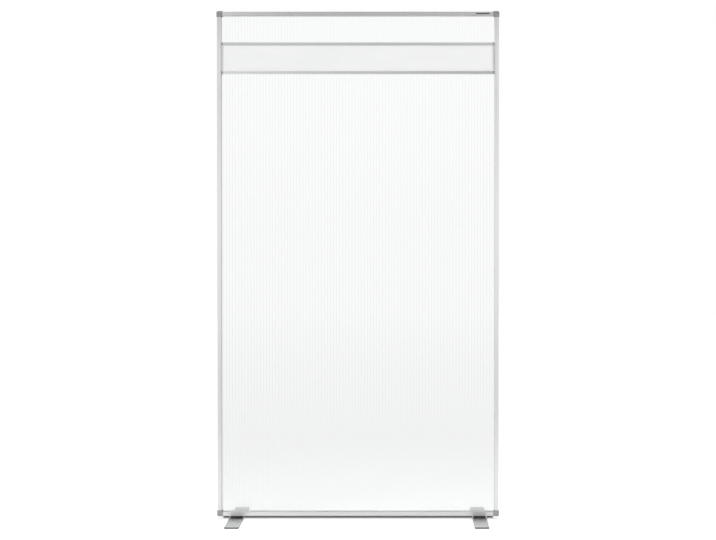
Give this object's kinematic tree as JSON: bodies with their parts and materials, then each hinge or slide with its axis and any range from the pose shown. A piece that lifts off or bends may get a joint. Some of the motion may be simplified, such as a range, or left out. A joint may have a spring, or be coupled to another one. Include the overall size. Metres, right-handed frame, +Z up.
{
  "type": "room divider",
  "caption": "Free-standing clear ribbed panel in an aluminium frame with plastic corner caps, flat fluted feet and a sliding white strip.",
  "frame": {"origin": "on the floor, below the middle of the panel", "axes": "+Z up, +X to the right seen from the front, -Y towards the viewer at the front"},
  "size_m": [1, 0.4, 1.8],
  "materials": {
    "anodised_aluminium": "natural anodised, satin",
    "foot_aluminium": "anodised, fluted along its length",
    "cap_plastic": "moulded, satin grey",
    "corner_plastic": "moulded, satin grey",
    "clear_sheet": "clear, glossy, ribbed inside",
    "clear_gasket": "soft, milky",
    "black_rubber": "matt",
    "zinc_steel": "zinc plated",
    "black_anodised": "black anodised, satin",
    "white_enamel": "gloss enamel",
    "hardboard": "raw",
    "back_sheet_steel": "galvanised",
    "slider_plastic": "moulded, white",
    "grey_felt": "felt"
  },
  "bodies": {
    "panel": {"top_rail": "anodised_aluminium", "bottom_rail": "anodised_aluminium", "left_stile": "anodised_aluminium", "right_stile": "anodised_aluminium", "left_foot": "foot_aluminium", "right_foot": "foot_aluminium", "top_left_cap": "cap_plastic", "top_right_cap": "cap_plastic", "bottom_left_cap": "cap_plastic", "bottom_right_cap": "cap_plastic", "ribbed_sheet": "clear_sheet", "top_gasket": "clear_gasket", "bottom_gasket": "clear_gasket", "left_gasket": "clear_gasket", "right_gasket": "clear_gasket", "left_foot_pads": "black_rubber", "right_foot_pads": "black_rubber", "left_foot_spacer": "black_rubber", "right_foot_spacer": "black_rubber", "left_floor_seal": "black_rubber", "middle_floor_seal": "black_rubber", "right_floor_seal": "black_rubber", "corner_screws": "zinc_steel", "left_foot_nut_plate": "zinc_steel", "right_foot_nut_plate": "zinc_steel", "left_foot_screws": "zinc_steel", "right_foot_screws": "zinc_steel", "blank_plate": "black_anodised"},
    "writing_strip": {"board_face": "white_enamel", "board_core": "hardboard", "board_back": "back_sheet_steel", "board_top_rail": "anodised_aluminium", "board_bottom_rail": "anodised_aluminium", "board_left_rail": "anodised_aluminium", "board_right_rail": "anodised_aluminium", "board_top_left_corner": "corner_plastic", "board_top_right_corner": "corner_plastic", "board_bottom_left_corner": "corner_plastic", "board_bottom_right_corner": "corner_plastic", "top_left_slider": "slider_plastic", "top_right_slider": "slider_plastic", "bottom_left_slider": "slider_plastic", "bottom_right_slider": "slider_plastic", "slider_pads": "grey_felt", "slider_screws": "zinc_steel"}
  },
  "joints": [
    {"name": "strip_height", "type": "slide", "parent": "panel", "child": "writing_strip", "axis": [0, 0, 1], "range_m": [-1.546, 0.09]}
  ]
}
